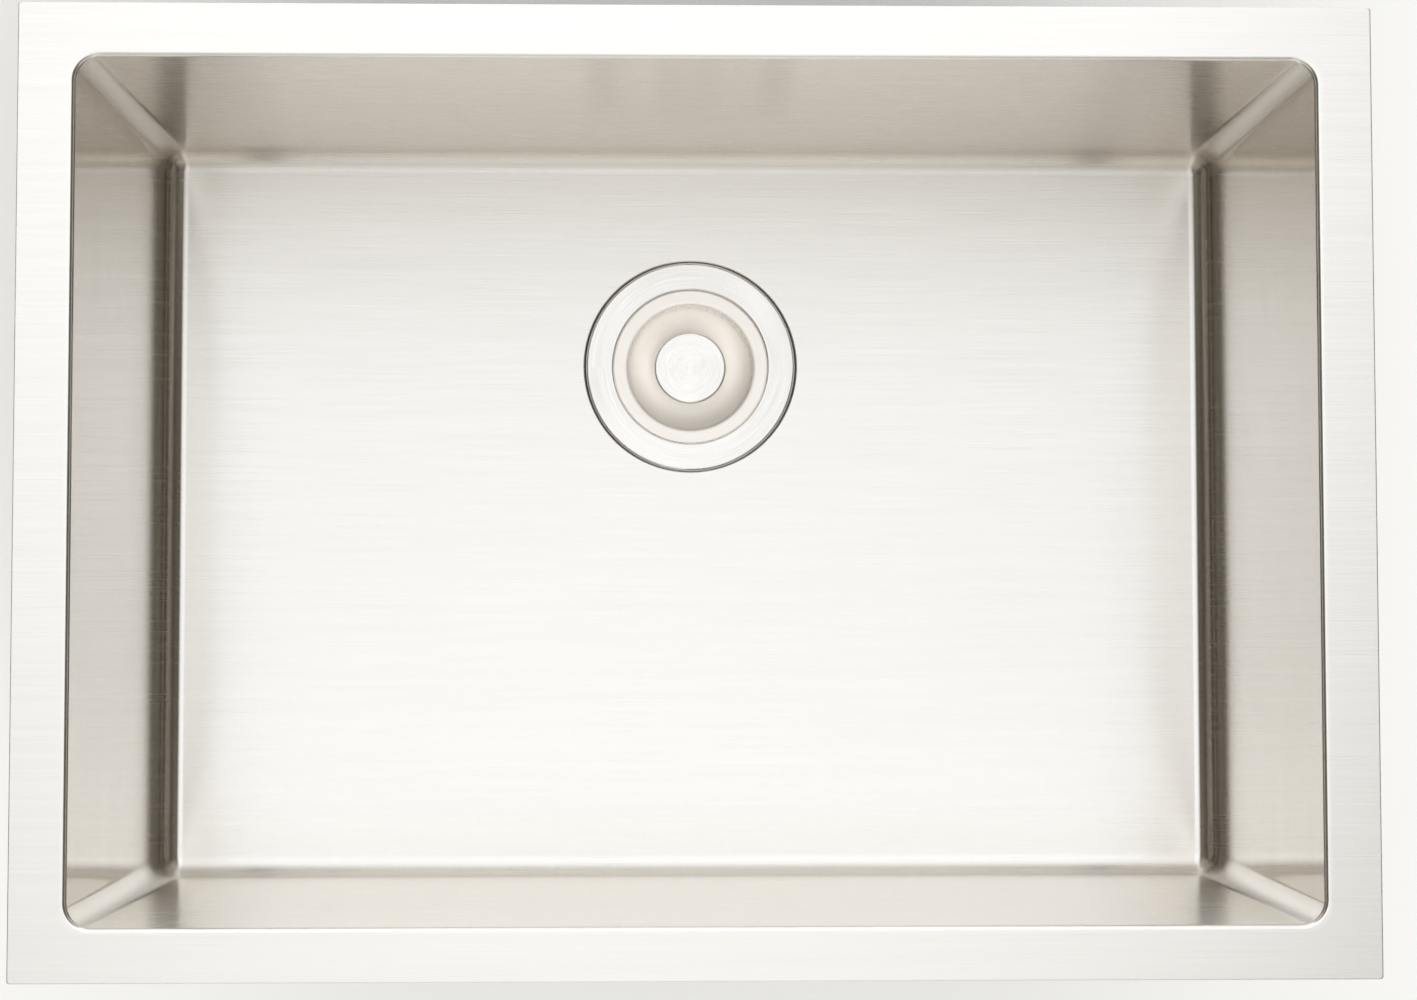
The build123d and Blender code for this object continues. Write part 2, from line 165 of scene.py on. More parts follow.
class FinishSettings(bpy.types.PropertyGroup):
    """Colours and gloss of the finishes."""

    steel: FloatVectorProperty(
        name="Steel",
        description="Brushed stainless steel",
        subtype="COLOR",
        default=(0.955, 0.916, 0.864),
    )
    steel_roughness: FloatProperty(
        name="Steel roughness",
        description="Gloss of the brushed steel",
        default=0.26,
        subtype="FACTOR",
    )
    side_roughness: FloatProperty(
        name="Side wall roughness",
        description="Gloss of the left and right walls",
        default=0.11,
        subtype="FACTOR",
    )
    undercoat: FloatVectorProperty(
        name="Undercoat",
        description="Sprayed coat outside the bowl",
        subtype="COLOR",
        default=(0.30, 0.30, 0.30),
    )
    pad: FloatVectorProperty(
        name="Pads",
        description="Sound-deadening rubber",
        subtype="COLOR",
        default=(0.035, 0.035, 0.037),
    )
    rubber: FloatVectorProperty(
        name="Rubber",
        description="Gasket and stopper",
        subtype="COLOR",
        default=(0.02, 0.02, 0.021),
    )
    fibre: FloatVectorProperty(
        name="Fibre", description="Slip ring", subtype="COLOR", default=(0.45, 0.33, 0.20)
    )
    plastic: FloatVectorProperty(
        name="Plastic",
        description="Bushing and tailpiece washer",
        subtype="COLOR",
        default=(0.78, 0.78, 0.75),
    )
    zinc: FloatVectorProperty(
        name="Zinc", description="Cast locknut", subtype="COLOR", default=(0.52, 0.52, 0.53)
    )
    chrome: FloatVectorProperty(
        name="Chrome",
        description="Tailpiece and its nut",
        subtype="COLOR",
        default=(0.80, 0.80, 0.81),
    )


class StageSettings(bpy.types.PropertyGroup):
    """Camera, lamps and floor."""

    lens: FloatProperty(name="Lens", description="Focal length", default=69.82, unit="CAMERA")
    tilt: FloatVectorProperty(
        name="Camera turn",
        description="Turn about X, Y and Z",
        subtype="EULER",
        default=(math.radians(3.0212), math.radians(-1.3325), math.radians(-0.0521)),
    )
    place: FloatVectorProperty(
        name="Camera place",
        description="Place of the camera",
        subtype="TRANSLATION",
        default=(-0.02525, -0.07285, 1.28154),
    )
    floor_gap: FloatProperty(
        name="Floor gap", description="Floor below the tailpiece", default=0.02, unit="LENGTH"
    )
    floor: FloatVectorProperty(
        name="Floor", description="Pale floor", subtype="COLOR", default=(0.86, 0.85, 0.83)
    )
    sky_bright: FloatProperty(
        name="Overhead light", description="Strength of the light overhead", default=1.25
    )
    sky_dark: FloatProperty(
        name="Dark surround", description="Strength round the overhead light", default=0.04
    )
    sky_around: FloatProperty(
        name="Light around",
        description="Strength in front of and behind the overhead light",
        default=0.35,
    )
    sky_horizon: FloatProperty(
        name="Horizon", description="Strength near the horizon", default=0.85
    )
    fill: FloatProperty(
        name="Fill", description="Strength of the lamp for floor and rubber", default=2.15
    )


def settings(context):
    """The scene's settings for the bowl, the finishes and the stage."""
    return context.scene.sink_bowl, context.scene.sink_finish, context.scene.sink_stage


# ---------------------------------------------------------------- meshes


def new_object(name, vertices, faces):
    """A smooth-shaded mesh object from vertices and faces."""
    mesh = bpy.data.meshes.new(name)
    mesh.from_pydata([tuple(v) for v in vertices], [], [tuple(int(k) for k in f) for f in faces])
    mesh.validate()
    mesh.shade_smooth()
    piece = bpy.data.objects.new(name, mesh)
    bpy.context.scene.collection.objects.link(piece)
    return piece


def closed_grid_faces(rows, columns):
    """Quads over a grid that closes on itself both ways."""
    row = np.arange(rows)[:, None] * columns
    column = np.arange(columns)[None, :]
    next_row = np.roll(row, -1, axis=0)
    next_column = np.roll(column, -1, axis=1)
    quads = [row + column, row + next_column, next_row + next_column, next_row + column]
    return np.stack(quads, -1).reshape(-1, 4)


def store(piece, name, kind, values):
    """Keeps one number or vector for each vertex under a name that a material can read."""
    layer = piece.data.attributes.new(name, kind, "POINT")
    layer.data.foreach_set("value" if kind == "FLOAT" else "vector", np.asarray(values, np.float32).ravel())


def rounded_outline(half_x, half_y, radius, steps_x, steps_y, steps_corner):
    """Points of a rounded rectangle and the outward direction at each, anticlockwise from the right."""
    centres = [(1, 1), (-1, 1), (-1, -1), (1, -1)]
    points, outward = [], []
    for quarter, (sign_x, sign_y) in enumerate(centres):
        centre = np.array([sign_x * (half_x - radius), sign_y * (half_y - radius)])
        start = quarter * math.pi / 2
        for step in range(steps_corner + 1):
            angle = start + step / steps_corner * math.pi / 2
            direction = np.array([math.cos(angle), math.sin(angle)])
            points.append(centre + radius * direction)
            outward.append(direction)
        steps = steps_x if quarter % 2 == 0 else steps_y
        next_x, next_y = centres[(quarter + 1) % 4]
        end = np.array([next_x * (half_x - radius), next_y * (half_y - radius)]) + radius * direction
        first = points[-1]
        for step in range(1, steps):
            points.append(first + (end - first) * step / steps)
            outward.append(direction)
    return np.array(points), np.array(outward)


# faces of the skin, counted round the bowl
STEPS_X = 96  # along the front or rear wall
STEPS_Y = 64  # along a side wall
STEPS_CORNER = 20  # round an upright corner

# faces of the skin, counted round the bends of its section
EDGE_STEPS = 4
RIM_STEPS = 12
COVE_STEPS = 20
SHOULDER_STEPS = 5
OUTER_TURN_STEPS = 6
OUTER_COVE_STEPS = 16
OUTER_RIM_STEPS = 6

# rings of the skin, each as a share of the way across its surface
FLANGE_RINGS = (0.985, 0.94, 0.75, 0.5, 0.25, 0.06, 0)
WALL_RINGS = (0.004, 0.03, 0.1, 0.2, 0.3, 0.4, 0.5, 0.6, 0.7, 0.8, 0.9, 0.97, 0.996, 1)
FLOOR_RINGS = (0.004, 0.02, 0.05, *np.linspace(0.09, 0.97, 26), 0.99, 1)
OUTER_WALL_RINGS = (0.99, 0.9, 0.75, 0.6, 0.45, 0.3, 0.15, 0.01)
UNDER_FLANGE_RINGS = (0.06, 0.5, 0.97)
SEAT_MARGIN = 0.002  # flat ring inside the recess's edge
HOLE_MARGIN = 0.001  # flat ring round the drain hole
RECESS_TOP = 0.2  # gap above the recess's outside, in shoulder radii
RECESS_CLEAR = 0.5  # gap round the recess's outside, in shoulder radii

SIDE_WALL = 0.7  # a wall that faces X by more than this counts as a side wall
FLOOR_BLEND = 8.0  # how sharply the floor's four slopes meet
# slow unevenness: radians for each metre along X, Y and Z, then the start
SWELLS = ((23, 7, 5, 0), (11, -31, 13, 1.3), (-17, 19, 29, 4.1))


def arc(start, end, steps):
    """Angles from start to end, leaving out the first."""
    return [start + (end - start) * (k + 1) / steps for k in range(steps)]


class BowlSkin:
    """Closed outlines round the bowl's whole skin: flange, inside, floor, recess, and back up outside."""

    def __init__(self, sizes):
        self.sizes = sizes
        self.points, self.outward, self.unfolded, self.kind = [], [], [], []
        self.half_x, self.half_y = sizes.opening_width / 2, sizes.opening_length / 2
        self.corner = sizes.cove + sizes.floor_corner
        self.lean = math.atan(sizes.wall_lean / sizes.wall_depth)
        self.measure_section(math.sin(self.lean), math.cos(self.lean))
        self.measure_floor()
        self.add_flange()
        self.add_inside()
        self.add_floor()
        self.add_recess()
        self.add_outside()

    def measure_section(self, sine, cosine):
        """The wall's section: offsets out from the opening's edge, heights, and travel along the sheet."""
        sizes = self.sizes
        self.bend_x = sizes.rim_bend * (1 - sine) / cosine
        self.cove_z = sizes.cove - sizes.wall_depth
        self.cove_x = (self.cove_z * sine - sizes.cove) / cosine
        self.top_z = sizes.rim_bend * (sine - 1)
        self.foot_z = self.cove_z - sizes.cove * sine
        self.cove_travel = sizes.cove * (math.pi / 2 - self.lean)
        self.top_travel = self.cove_travel + (self.top_z - self.foot_z) / cosine

    def measure_floor(self):
        """The floor's rings, which change from its rounded rectangle to the recess's circle."""
        sizes = self.sizes
        edge, _ = self.rectangle(self.half_x + self.cove_x, self.half_y + self.cove_x, sizes.floor_corner)
        self.centre = np.array([0, DRAIN_Y])
        spokes = edge - self.centre
        lengths = np.linalg.norm(spokes, axis=1)
        self.spokes = spokes / lengths[:, None]
        self.rim_radius = sizes.recess_radius + sizes.shoulder
        reaches = [lengths * (1 - share) + self.rim_radius * share for share in FLOOR_RINGS]
        self.plans = [self.spokes * reach[:, None] for reach in reaches]
        self.drops = [floor_drop(sizes, plan) for plan in self.plans]
        self.seat_z = -(sizes.wall_depth + sizes.fall + sizes.recess_depth)

    def rectangle(self, half_x, half_y, radius):
        """One of the skin's rounded rectangles, and its outward directions."""
        return rounded_outline(half_x, half_y, radius, STEPS_X, STEPS_Y, STEPS_CORNER)

    def add(self, outline, outward, z, kind, travel=None):
        """One outline at height z, with where each point lies on the unfolded sheet."""
        heights = np.broadcast_to(np.asarray(z, float), (len(outline),))
        self.points.append(np.column_stack([outline, heights]))
        self.outward.append(outward)
        self.unfolded.append(outline if travel is None else travel)
        self.kind.append(kind)

    def level(self, offset, z, radius, travel, kind, upright):
        """A ring at one height, which lies out from the opening's edge by the offset."""
        outline, outward = self.rectangle(self.half_x + offset, self.half_y + offset, radius)
        unfolded = outline + outward * (travel - offset + self.cove_x)
        if upright:
            side = np.abs(outward[:, 0]) > SIDE_WALL
            unfolded[side] = np.column_stack([outline[side, 1], np.full(side.sum(), travel)])
        self.add(outline, outward, z, kind, unfolded)

    def bend(self, angle, grow, kind):
        """The rim bend: 0 at the flange, a quarter turn less the lean at the wall."""
        radius = self.sizes.rim_bend - grow
        offset = self.bend_x - radius * math.sin(angle)
        tangent = self.bend_x - radius * math.cos(self.lean)
        travel = self.top_travel + self.sizes.rim_bend * (math.pi / 2 - self.lean - angle)
        z = radius * math.cos(angle) - self.sizes.rim_bend
        self.level(offset, z, self.corner + grow + offset - tangent, travel, kind, angle > math.pi / 4)

    def wall(self, share, grow, kind):
        """The wall: 0 below the rim bend, 1 above the cove."""
        z = self.top_z + (self.foot_z - self.top_z) * share
        travel = self.cove_travel + (self.top_travel - self.cove_travel) * (1 - share)
        self.level(grow + z * math.tan(self.lean), z, self.corner + grow, travel, kind, True)

    def cove(self, angle, grow, kind):
        """The cove: the lean at the wall, a quarter turn at the floor."""
        radius = self.sizes.cove + grow
        offset = self.cove_x + radius * math.cos(angle)
        tangent = self.cove_x + radius * math.cos(self.lean)
        z = self.cove_z - radius * math.sin(angle)
        travel = self.sizes.cove * (math.pi / 2 - angle)
        self.level(offset, z, self.corner + grow + offset - tangent, travel, kind, angle < math.pi / 4)

    def flange(self, share, z, inset, kind):
        """Between the rim bend at 0 and the flange's edge at 1."""
        bend_x = self.half_x + self.bend_x
        bend_y = self.half_y + self.bend_x
        out_x = bend_x + (BOWL_HIGH.x - inset - bend_x) * share
        out_y = bend_y + (BOWL_HIGH.y - inset - bend_y) * share
        bend_corner = self.corner + self.sizes.rim_bend * math.cos(self.lean)
        radius = bend_corner * (1 - share) + (self.sizes.flange_corner - inset) * share
        outline, outward = self.rectangle(out_x, out_y, radius)
        self.add(outline, outward, z, kind)

    def circle(self, radius, z, kind):
        """A level circle round the drain axis."""
        self.add(self.spokes * radius + self.centre, self.spokes, z, kind)

    def add_flange(self):
        """From the flange's lower outer edge over the top to the bend."""
        sizes = self.sizes
        self.flange(1, -sizes.sheet, 0, "edge")
        self.flange(1, -sizes.sheet + sizes.flange_edge, 0, "edge")
        self.flange(1, -sizes.flange_edge, 0, "edge")
        for angle in arc(0, math.pi / 2, EDGE_STEPS):
            inset = sizes.flange_edge * (1 - math.cos(angle))
            self.flange(1, -sizes.flange_edge * (1 - math.sin(angle)), inset, "steel")
        for share in FLANGE_RINGS:
            self.flange(share, 0, sizes.flange_edge, "steel")

    def add_inside(self):
        """Down the bend, the wall and the cove."""
        for angle in arc(0, math.pi / 2 - self.lean, RIM_STEPS):
            self.bend(angle, 0, "steel")
        for share in WALL_RINGS:
            self.wall(share, 0, "steel")
        for angle in arc(self.lean, math.pi / 2, COVE_STEPS):
            self.cove(angle, 0, "steel")

    def add_floor(self):
        """Over the floor to the recess's rim."""
        for plan, drop in zip(self.plans, self.drops):
            self.add(plan + self.centre, self.spokes, -self.sizes.wall_depth - drop, "steel")

    def add_recess(self):
        """Over the rim into the recess, across its seat and through the hole."""
        sizes = self.sizes
        shoulder_z = -sizes.wall_depth - self.drops[-1]
        for angle in arc(0, math.pi / 2, SHOULDER_STEPS):
            radius = self.rim_radius - sizes.shoulder * math.sin(angle)
            self.circle(radius, shoulder_z - sizes.shoulder * (1 - math.cos(angle)), "steel")
        for angle in arc(0, math.pi / 2, SHOULDER_STEPS):
            radius = sizes.recess_radius - sizes.shoulder * (1 - math.cos(angle))
            self.circle(radius, self.seat_z + sizes.shoulder * (1 - math.sin(angle)), "steel")
        self.circle(sizes.recess_radius - SEAT_MARGIN, self.seat_z, "steel")
        self.circle(sizes.hole_radius + HOLE_MARGIN, self.seat_z, "steel")
        self.circle(sizes.hole_radius, self.seat_z, "steel")
        self.circle(sizes.hole_radius, self.seat_z - sizes.sheet, "edge")

    def add_outside(self):
        """Back out under the recess and the floor, up the wall and out under the flange."""
        sizes = self.sizes
        outer_radius = sizes.recess_radius + sizes.sheet
        turn = sizes.shoulder + sizes.sheet
        for angle in arc(0, math.pi / 2, OUTER_TURN_STEPS):
            radius = outer_radius - turn * (1 - math.sin(angle))
            self.circle(radius, self.seat_z - sizes.sheet + turn * (1 - math.cos(angle)), "coat")
        underside = -sizes.wall_depth - sizes.sheet
        self.circle(outer_radius, underside - self.drops[-1] - sizes.shoulder * RECESS_TOP, "coat")
        nearest = outer_radius + sizes.shoulder * RECESS_CLEAR
        for plan, drop in list(zip(self.plans, self.drops))[::-1]:
            reach = np.maximum(np.linalg.norm(plan, axis=1), nearest)
            self.add(self.spokes * reach[:, None] + self.centre, self.spokes, underside - drop, "coat")
        for angle in arc(math.pi / 2, self.lean, OUTER_COVE_STEPS):
            self.cove(angle, sizes.sheet, "coat")
        for share in OUTER_WALL_RINGS:
            self.wall(share, sizes.sheet, "coat")
        for angle in arc(math.pi / 2 - self.lean, 0, OUTER_RIM_STEPS):
            self.bend(angle, sizes.sheet, "under")
        for share in UNDER_FLANGE_RINGS:
            self.flange(share, -sizes.sheet, 0, "under")


def floor_drop(sizes, plan):
    """How far the floor has fallen at places given from the drain axis.

    Four slopes are blended into one dish.
    """
    edge = sizes.wall_lean + sizes.cove
    reach_x = sizes.opening_width / 2 - edge
    rear = sizes.opening_length / 2 - edge - DRAIN_Y
    front = sizes.opening_length / 2 - edge + DRAIN_Y
    across = np.abs(plan[:, 0]) / reach_x
    along = np.where(plan[:, 1] > 0, plan[:, 1] / rear, -plan[:, 1] / front)
    outwards = (across**FLOOR_BLEND + along**FLOOR_BLEND) ** (1 / FLOOR_BLEND)
    return sizes.fall * np.clip(1 - outwards, 0, None)


def fade(values, first, last):
    """From 0 at the first value to 1 at the last."""
    return np.clip((values - first) / (last - first), 0, 1)


def brushed_field(outward, normals):
    """Direction across the brush lines, and how far each point belongs to a side wall.

    The lines run along X on the floor and flange, and level round the walls.
    """
    along = np.column_stack([-outward[:, 1], outward[:, 0], np.zeros(len(outward))])
    wall = np.cross(along, normals)
    level = np.zeros_like(wall)
    level[:, 1] = np.where((wall[:, 1] < -0.01) & (normals[:, 2] < 0.999), -1, 1)
    flat = fade(np.abs(normals[:, 2:3]), 0.5, 0.9)
    field = wall * (1 - flat) + level * flat
    field -= normals * np.sum(field * normals, 1)[:, None]
    side = fade(np.abs(outward[:, 0]), 0.3, 0.9) * (1 - flat[:, 0])
    smallest = 1e-9  # keeps a field of no length from being divided by 0
    return field / np.maximum(np.linalg.norm(field, axis=1), smallest)[:, None], side


def read_normals(mesh):
    """The mesh's vertex normals as an array."""
    normals = np.zeros(len(mesh.vertices) * 3, np.float32)
    mesh.vertex_normals.foreach_get("vector", normals)
    return normals.reshape(-1, 3).astype(float)


def build_bowl(sizes):
    """The bowl as one closed skin, with the brush direction kept for its material."""
    skin = BowlSkin(sizes)
    rows, columns = len(skin.points), len(skin.points[0])
    points = np.concatenate(skin.points)
    outward = np.concatenate(skin.outward)
    unfolded = np.concatenate(skin.unfolded)
    kinds = np.array(skin.kind)
    bowl = new_object("sink_bowl_pressed", points, closed_grid_faces(rows, columns))
    swell = waves(points) * sizes.waviness
    swell[np.repeat(kinds != "steel", columns)] = 0
    low = points[:, 2] < -sizes.sheet
    moved = points + read_normals(bowl.data) * (swell * low)[:, None]
    bowl.data.vertices.foreach_set("co", moved.astype(np.float32).ravel())
    bowl.data.update()
    across, side = brushed_field(outward, read_normals(bowl.data))
    store(bowl, "across_brush", "FLOAT_VECTOR", across)
    store(bowl, "side_wall", "FLOAT", side)
    store(bowl, "unfolded", "FLOAT_VECTOR", np.column_stack([unfolded, np.zeros(len(unfolded))]))
    # a face takes the undercoat where its second ring is coated and its first one is or borders it
    coated = (np.roll(kinds, -1) == "coat") & np.isin(kinds, ["coat", "edge", "under"])
    return bowl, np.repeat(coated, columns)


def waves(points):
    """Slow unevenness of ground sheet, from -1 to 1."""
    return sum(np.sin(points @ swell[:3] + swell[3]) for swell in np.array(SWELLS)) / len(SWELLS)


# ---------------------------------------------------------------- shared effects


def add_node(tree, kind, links=None, **values):
    """A node with its properties set, and its inputs linked or given a value by socket."""
    node = tree.nodes.new(kind)
    for key, value in values.items():
        setattr(node, key, value)
    for key, value in (links or {}).items():
        socket = node.inputs[key]
        if isinstance(value, bpy.types.NodeSocket):
            tree.links.new(value, socket)
        else:
            socket.default_value = value
    return node


def math_node(tree, operation, *terms):
    """The result of one sum on one, two or three values."""
    return add_node(tree, "ShaderNodeMath", dict(enumerate(terms)), operation=operation).outputs[0]


def noise(tree, vector, scale, detail):
    """Random values from 0 to 1 that change slowly over a vector."""
    links = {"Vector": vector, "Scale": scale, "Detail": detail}
    return add_node(tree, "ShaderNodeTexNoise", links).outputs["Fac"]


def group_tree(name, inputs, outputs):
    """A shader node group with named sockets, and its input and output nodes."""
    tree = bpy.data.node_groups.new(name, "ShaderNodeTree")
    for label, kind, default in inputs:
        socket = tree.interface.new_socket(label, in_out="INPUT", socket_type=kind)
        if default is not None:
            socket.default_value = default
    for label in outputs:
        tree.interface.new_socket(label, in_out="OUTPUT", socket_type="NodeSocketFloat")
    return tree, tree.nodes.new("NodeGroupInput"), tree.nodes.new("NodeGroupOutput")


BRUSH_STREAK_WIDTH = 14.0  # in line widths
BRUSH_STREAK_LENGTH = 4.0  # in line lengths
TURNED_STREAK_WIDTH = 12.0  # in line widths
TURNED_CHANGE = 1.5  # how much the turned lines change for each radian round the axis


def brush_line_group(name):
    """Fine parallel lines that run along X of the vector given, and broader streaks among them."""
    tree, given, made = group_tree(
        name,
        [
            ("Vector", "NodeSocketVector", None),
            ("Line width", "NodeSocketFloat", 0.0004),
            ("Line length", "NodeSocketFloat", 0.06),
        ],
        ["Lines", "Streaks"],
    )
    part = add_node(tree, "ShaderNodeSeparateXYZ", {0: given.outputs["Vector"]})

    def layer(wider, longer, detail):
        length = math_node(tree, "MULTIPLY", given.outputs["Line length"], longer)
        width = math_node(tree, "MULTIPLY", given.outputs["Line width"], wider)
        along = math_node(tree, "DIVIDE", part.outputs["X"], length)
        across = math_node(tree, "DIVIDE", part.outputs["Y"], width)
        links = {"X": along, "Y": across, "Z": part.outputs["Z"]}
        return noise(tree, add_node(tree, "ShaderNodeCombineXYZ", links).outputs[0], 1.0, detail)

    tree.links.new(layer(1.0, 1.0, 3.0), made.inputs["Lines"])
    tree.links.new(layer(BRUSH_STREAK_WIDTH, BRUSH_STREAK_LENGTH, 2.0), made.inputs["Streaks"])
    return tree


def turned_line_group(name):
    """Fine rings round the drain axis, and broader streaks among them."""
    tree, given, made = group_tree(name, [("Line width", "NodeSocketFloat", 0.0003)], ["Lines", "Streaks"])
    place = add_node(tree, "ShaderNodeTexCoord").outputs["Object"]
    links = {0: place, 1: (0, DRAIN_Y, 0)}
    centred = add_node(tree, "ShaderNodeVectorMath", links, operation="SUBTRACT")
    part = add_node(tree, "ShaderNodeSeparateXYZ", {0: centred.outputs[0]})
    flat = add_node(tree, "ShaderNodeCombineXYZ", {"X": part.outputs["X"], "Y": part.outputs["Y"]})
    length = add_node(tree, "ShaderNodeVectorMath", {0: flat.outputs[0]}, operation="LENGTH")
    radius = length.outputs["Value"]
    angle = math_node(tree, "ARCTAN2", part.outputs["Y"], part.outputs["X"])
    turned = math_node(tree, "MULTIPLY", angle, TURNED_CHANGE)

    def layer(wider):
        width = math_node(tree, "MULTIPLY", given.outputs["Line width"], wider)
        ring = math_node(tree, "DIVIDE", radius, width)
        up = math_node(tree, "DIVIDE", part.outputs["Z"], width)
        links = {"X": ring, "Y": up, "Z": turned}
        return noise(tree, add_node(tree, "ShaderNodeCombineXYZ", links).outputs[0], 1.0, 2.0)

    tree.links.new(layer(1.0), made.inputs["Lines"])
    tree.links.new(layer(TURNED_STREAK_WIDTH), made.inputs["Streaks"])
    return tree


def grain_group(name):
    """Fine grain and soft patches for cast, moulded and sprayed surfaces."""
    tree, given, made = group_tree(
        name,
        [("Grain size", "NodeSocketFloat", 0.001), ("Patch size", "NodeSocketFloat", 0.03)],
        ["Grain", "Patches"],
    )
    place = add_node(tree, "ShaderNodeTexCoord").outputs["Object"]
    grains = math_node(tree, "DIVIDE", 1.0, given.outputs["Grain size"])
    patches = math_node(tree, "DIVIDE", 1.0, given.outputs["Patch size"])
    tree.links.new(noise(tree, place, grains, 4.0), made.inputs["Grain"])
    tree.links.new(noise(tree, place, patches, 3.0), made.inputs["Patches"])
    return tree


EFFECTS = {"Brush lines": brush_line_group, "Turned lines": turned_line_group, "Grain": grain_group}


def place_effect(tree, name, links):
    """One placed copy of a shared effect, which is built the first time it is asked for."""
    effect = bpy.data.node_groups.get(name) or EFFECTS[name](name)
    return add_node(tree, "ShaderNodeGroup", links, node_tree=effect)


# ---------------------------------------------------------------- materials


# depths of the bumps, in metres
BRUSH_DEPTH = 0.0000008
TURNED_DEPTH = 0.000004
COAT_DEPTH = 0.0003

WALL_LINE_DEPTH = 0.25  # share of the brush depth left on upright sheet
QUARTER_TURN = 0.25  # the shader counts a whole turn as 1


def new_material(name):
    """A material, its nodes and its Principled shader."""
    material = bpy.data.materials.new(name)
    material.use_nodes = True
    return material, material.node_tree, material.node_tree.nodes["Principled BSDF"]


def spread(tree, mask, middle, swing):
    """Values from below the middle to above it over a mask whose values keep near a half."""
    links = {"Value": mask, "From Min": 0.3, "From Max": 0.7}
    links.update({"To Min": middle - swing, "To Max": middle + swing})
    return add_node(tree, "ShaderNodeMapRange", links).outputs[0]


def tint(tree, mask, dark, light):
    """Colour between two shades over a mask."""
    node = add_node(tree, "ShaderNodeMix", {0: mask}, data_type="RGBA")
    node.inputs[6].default_value = (*dark, 1)
    node.inputs[7].default_value = (*light, 1)
    return node.outputs[2]


def shade(colour, factor):
    """A colour made darker or lighter by a factor."""
    return tuple(min(1.0, channel * factor) for channel in colour)


def colour_over(tree, shader, mask, colour, darkest, lightest):
    """Shades of one colour over a mask, into the shader's base colour."""
    shades = tint(tree, mask, shade(colour, darkest), shade(colour, lightest))
    tree.links.new(shades, shader.inputs["Base Color"])


def bump(tree, shader, height, depth):
    """Raises the surface by a depth where the height is 1."""
    node = add_node(tree, "ShaderNodeBump", {"Height": height, "Distance": depth})
    tree.links.new(node.outputs["Normal"], shader.inputs["Normal"])


def brushed_steel(finish):
    """Inside of the bowl and its flange: lines along the sheet, softened across them."""
    material, tree, shader = new_material("Brushed steel sheet")
    shader.inputs["Metallic"].default_value = 1.0
    shader.inputs["Anisotropic"].default_value = 1.0
    place = add_node(tree, "ShaderNodeAttribute", attribute_name="unfolded").outputs["Vector"]
    lines = place_effect(tree, "Brush lines", {"Vector": place, "Line width": 0.0005, "Line length": 0.07})
    colour_over(tree, shader, lines.outputs["Streaks"], finish.steel, 0.97, 1.02)
    # the side walls are ground finer than the rest
    side = add_node(tree, "ShaderNodeAttribute", attribute_name="side_wall").outputs["Fac"]
    finer = math_node(tree, "MULTIPLY", side, finish.steel_roughness - finish.side_roughness)
    rough = spread(tree, lines.outputs["Lines"], finish.steel_roughness, 0.02)
    tree.links.new(math_node(tree, "SUBTRACT", rough, finer), shader.inputs["Roughness"])
    across = add_node(tree, "ShaderNodeAttribute", attribute_name="across_brush").outputs["Vector"]
    tree.links.new(across, shader.inputs["Tangent"])
    # the lines are cut deeper where the sheet faces up
    normal = add_node(tree, "ShaderNodeNewGeometry").outputs["Normal"]
    facing = add_node(tree, "ShaderNodeSeparateXYZ", {0: normal}).outputs["Z"]
    depth = math_node(tree, "MAXIMUM", facing, WALL_LINE_DEPTH)
    bump(tree, shader, math_node(tree, "MULTIPLY", lines.outputs["Lines"], depth), BRUSH_DEPTH)
    return material


def undercoat(finish):
    """Outside of the bowl: grey sprayed coat."""
    material, tree, shader = new_material("Sprayed undercoat")
    grain = place_effect(tree, "Grain", {"Grain size": 0.0012, "Patch size": 0.05})
    colour_over(tree, shader, grain.outputs["Patches"], finish.undercoat, 0.9, 1.08)
    tree.links.new(spread(tree, grain.outputs["Grain"], 0.81, 0.09), shader.inputs["Roughness"])
    bump(tree, shader, grain.outputs["Grain"], COAT_DEPTH)
    return material


def turned_steel(name, finish, rough, line_width, anisotropy, metallic=1.0):
    """Steel turned on a lathe, with rings round the drain axis."""
    material, tree, shader = new_material(name)
    shader.inputs["Metallic"].default_value = metallic
    shader.inputs["Anisotropic"].default_value = anisotropy
    shader.inputs["Anisotropic Rotation"].default_value = QUARTER_TURN
    tangent = add_node(tree, "ShaderNodeTangent", direction_type="RADIAL", axis="Z")
    tree.links.new(tangent.outputs[0], shader.inputs["Tangent"])
    lines = place_effect(tree, "Turned lines", {"Line width": line_width})
    colour_over(tree, shader, lines.outputs["Streaks"], finish.steel, 0.95, 1.03)
    tree.links.new(spread(tree, lines.outputs["Lines"], rough, 0.04), shader.inputs["Roughness"])
    bump(tree, shader, lines.outputs["Lines"], TURNED_DEPTH)
    return material


def grained(name, colour, rough, grain_size, depth, metallic=0.0, contrast=0.12):
    """Cast, moulded or pressed matter with a fine grain."""
    material, tree, shader = new_material(name)
    shader.inputs["Metallic"].default_value = metallic
    grain = place_effect(tree, "Grain", {"Grain size": grain_size})
    colour_over(tree, shader, grain.outputs["Patches"], colour, 1 - contrast, 1 + contrast)
    tree.links.new(spread(tree, grain.outputs["Grain"], rough, 0.06), shader.inputs["Roughness"])
    bump(tree, shader, grain.outputs["Grain"], depth)
    return material


# ---------------------------------------------------------------- pieces


PAD_EDGE = 0.0008  # rounding of a pad's edges
PAD_EDGE_STEPS = 3
SHARP_EDGE = math.radians(40)  # an edge that turns by more than this is rounded


def finish_nodes(material, *names):
    """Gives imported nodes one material."""
    for name in names:
        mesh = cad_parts[name].data
        mesh.materials.clear()
        mesh.materials.append(material)


